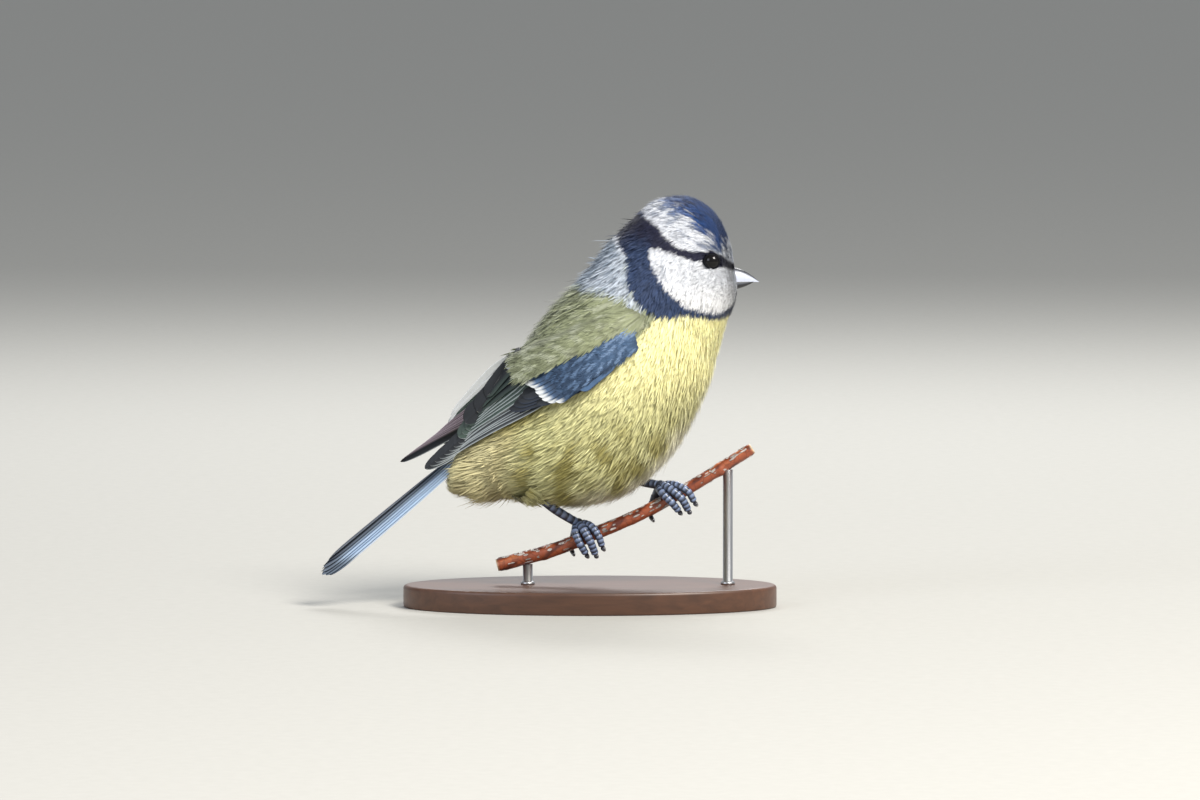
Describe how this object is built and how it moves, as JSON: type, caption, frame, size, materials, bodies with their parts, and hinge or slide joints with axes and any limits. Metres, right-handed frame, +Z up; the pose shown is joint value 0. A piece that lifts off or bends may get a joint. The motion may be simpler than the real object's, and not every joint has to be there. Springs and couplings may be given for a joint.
{
  "type": "blue tit",
  "caption": "Small songbird with a blue cap and yellow breast, still, gripping a cut twig on a plain oval stand.",
  "frame": {"origin": "middle of the underside of the stand's oval base", "axes": "+Z up, +X the way the bird looks, -Y its right side, the side the picture shows"},
  "size_m": [0.1025, 0.046, 0.0925],
  "materials": {
    "face_feathers": "soft white feathers with a blue cap and a dark eyestripe",
    "neck_feathers": "soft feathers, navy collar and pale grey nape",
    "body_feathers": "soft feathers, yellow below and grey-olive above",
    "rump_feathers": "soft feathers, pale yellow-olive",
    "wing_feathers": "smooth vanes, slate with blue coverts and a white bar",
    "tail_feathers": "smooth vanes, grey-blue",
    "eye": "wet, near black",
    "bill_horn": "smooth dark horn with pale grey cutting edges",
    "leg_skin": "scuted blue-grey skin",
    "claw_horn": "smooth dark horn",
    "twig_bark": "thin glossy red-brown bark with pale flecks",
    "stand_wood": "dark stained wood, satin",
    "stand_steel": "satin steel"
  },
  "bodies": {
    "root": {"head": "face_feathers", "neck": "neck_feathers", "torso": "body_feathers", "rump": "rump_feathers", "wing_right": "wing_feathers", "wing_left": "wing_feathers", "tail": "tail_feathers", "eye_right": "eye", "eye_left": "eye", "bill_upper": "bill_horn", "bill_lower": "bill_horn", "leg_right": "leg_skin", "leg_left": "leg_skin", "foot_right": "leg_skin", "foot_left": "leg_skin", "claw_right_1": "claw_horn", "claw_right_2": "claw_horn", "claw_right_3": "claw_horn", "claw_right_4": "claw_horn", "claw_left_1": "claw_horn", "claw_left_2": "claw_horn", "claw_left_3": "claw_horn", "claw_left_4": "claw_horn", "perch": "twig_bark", "stand_base": "stand_wood", "stand_rod_1": "stand_steel", "stand_rod_2": "stand_steel"}
  },
  "joints": []
}
